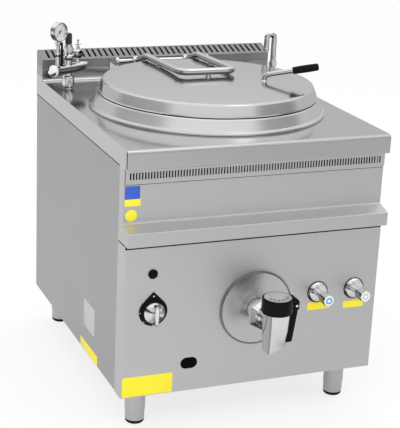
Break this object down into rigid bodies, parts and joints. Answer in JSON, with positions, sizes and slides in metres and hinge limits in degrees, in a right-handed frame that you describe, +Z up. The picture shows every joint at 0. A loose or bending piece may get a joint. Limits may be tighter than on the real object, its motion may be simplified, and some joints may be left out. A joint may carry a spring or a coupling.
{
  "type": "gas boiling pan",
  "caption": "Free-standing round boiling pan in a square stainless cabinet with a hinged domed lid, front drain tap, gas knob, water taps, filling spout and a steam-jacket safety group.",
  "frame": {"origin": "centre of the overall footprint at floor level", "axes": "+X to the right and +Y to the back as seen by the cook, +Z up"},
  "size_m": [0.8157, 1.105, 1.0655],
  "materials": {
    "steel_sheet": "satin brushed stainless sheet",
    "steel_cap": "satin stainless sheet",
    "steel_inner": "smooth stainless",
    "frame_steel": "plain stainless",
    "polished_steel": "polished stainless",
    "chrome": "polished chrome",
    "brass": "turned brass",
    "copper_pipe": "drawn pipe",
    "black_plastic": "satin black",
    "black_rubber": "matt black",
    "mineral_wool": "felted wool",
    "aluminium_disc": "satin",
    "clear_glass": "clear"
  },
  "bodies": {
    "cabinet": {"worktop": "steel_sheet", "side_panel_left": "steel_sheet", "side_panel_right": "steel_sheet", "console_panel": "steel_sheet", "lower_front_panel": "steel_sheet", "rear_panel": "steel_sheet", "pan_collar": "steel_sheet", "chimney_cap": "steel_cap", "vent_panel": "steel_cap", "hinge_brackets": "steel_cap", "pan_vessel": "steel_inner", "steam_jacket": "steel_inner", "flue_duct": "steel_inner", "base_frame": "frame_steel", "foot_legs": "frame_steel", "burner": "frame_steel", "hinge_shaft": "polished_steel", "drain_cover": "polished_steel", "drain_pipe": "polished_steel", "tap_body": "chrome", "escutcheons": "chrome", "spout_base": "chrome", "safety_manifold": "chrome", "gauge_stem": "chrome", "safety_valve": "chrome", "vent_cock": "chrome", "igniter_housing": "chrome", "gauge_case": "chrome", "gas_valve": "brass", "water_valves": "brass", "gas_pipes": "copper_pipe", "water_pipes": "copper_pipe", "safety_pipe": "copper_pipe", "knob_bezel": "black_plastic", "safety_valve_cap": "black_plastic", "levelling_foot_front_left": "black_rubber", "levelling_foot_front_right": "black_rubber", "levelling_foot_rear_left": "black_rubber", "levelling_foot_rear_right": "black_rubber", "insulation_sleeve": "mineral_wool", "gauge_glass": "clear_glass"},
    "lid": {"lid_shell": "steel_sheet", "lid_liner": "steel_inner", "lid_seal": "black_rubber", "lid_arm": "polished_steel", "lid_lever": "polished_steel", "lever_grip": "black_plastic"},
    "gas_control": {"gas_knob": "black_plastic", "knob_bar": "chrome"},
    "igniter_push": {"igniter_button": "black_plastic"},
    "drain_cap": {"tap_cap": "black_plastic", "tap_disc": "aluminium_disc", "tap_pin": "chrome", "tap_plug": "chrome"},
    "drain_lever": {"tap_lever": "black_plastic"},
    "water_knob_left": {"tap_knob_left": "chrome"},
    "water_knob_right": {"tap_knob_right": "chrome"},
    "spout": {"filling_spout": "polished_steel"},
    "vent_handle": {"vent_lever": "chrome"},
    "gauge_pointer": {"gauge_needle": "black_plastic"}
  },
  "joints": [
    {"name": "lid_hinge", "type": "hinge", "parent": "cabinet", "child": "lid", "pos_m": [0, 0.4575, 0.912], "axis": [-1, 0, 0], "range_deg": [0, 80]},
    {"name": "gas_turn", "type": "hinge", "parent": "cabinet", "child": "gas_control", "pos_m": [-0.31, -0.3675, 0.376], "axis": [0, 1, 0], "range_deg": [0, 270]},
    {"name": "igniter_press", "type": "slide", "parent": "cabinet", "child": "igniter_push", "axis": [0, 1, 0], "range_m": [0, 0.004], "stiffness_N_per_m": 600},
    {"name": "drain_turn", "type": "hinge", "parent": "cabinet", "child": "drain_cap", "pos_m": [0.006, -0.5075, 0.395], "axis": [0, 0, -1], "range_deg": [0, 90]},
    {"name": "drain_lever_lift", "type": "hinge", "parent": "drain_cap", "child": "drain_lever", "pos_m": [0.061, -0.5075, 0.4123], "axis": [0, -1, 0], "range_deg": [0, 100]},
    {"name": "water_turn_left", "type": "hinge", "parent": "cabinet", "child": "water_knob_left", "pos_m": [0.204, -0.3675, 0.381], "axis": [0, 1, 0], "range_deg": [0, 360]},
    {"name": "water_turn_right", "type": "hinge", "parent": "cabinet", "child": "water_knob_right", "pos_m": [0.324, -0.3675, 0.381], "axis": [0, 1, 0], "range_deg": [0, 360]},
    {"name": "spout_swing", "type": "hinge", "parent": "cabinet", "child": "spout", "pos_m": [0.366, 0.3725, 0.905], "axis": [0, 0, 1], "range_deg": [-120, 120]},
    {"name": "vent_turn", "type": "hinge", "parent": "cabinet", "child": "vent_handle", "pos_m": [-0.31155, 0.38703, 0.975], "axis": [0, 0, 1], "range_deg": [0, 180]},
    {"name": "gauge_read", "type": "hinge", "parent": "cabinet", "child": "gauge_pointer", "pos_m": [-0.38705, 0.35021, 1.035], "axis": [-0.5446, 0.8387, 0], "range_deg": [0, 270], "stiffness_Nm_per_rad": 0.002}
  ]
}
